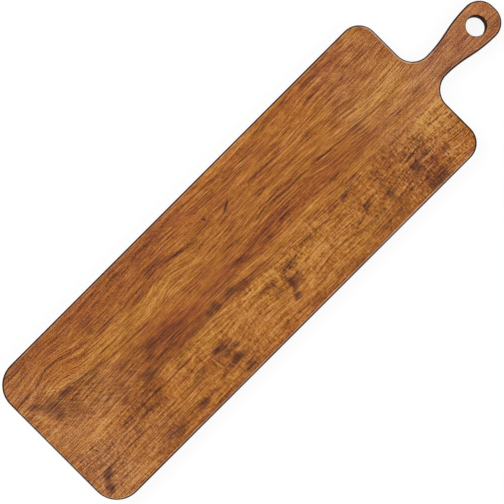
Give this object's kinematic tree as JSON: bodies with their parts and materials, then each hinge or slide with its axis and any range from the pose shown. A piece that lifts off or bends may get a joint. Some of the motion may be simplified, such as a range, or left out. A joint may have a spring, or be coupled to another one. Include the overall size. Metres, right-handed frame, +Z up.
{
  "type": "paddle serving board",
  "caption": "Long flat hardwood serving board with rounded corners, a waisted handle with a hanging hole, and staves edge-glued side by side.",
  "frame": {"origin": "on the surface that the board lies on, under the middle of its overall length and width", "axes": "+X along the board's length towards the tip of the handle, +Y across it towards the wide stave's free edge, +Z up from the underside to the serving face"},
  "size_m": [0.711, 0.204, 0.018],
  "materials": {
    "wide_stave_wood": "stained reddish brown, oiled satin",
    "narrow_stave_wood": "stained golden brown with curly figure, oiled satin",
    "cured_glue": "cured wood glue, stained with the board"
  },
  "bodies": {
    "root": {"wide_stave": "wide_stave_wood", "narrow_stave": "narrow_stave_wood", "glue_line": "cured_glue"}
  },
  "joints": []
}
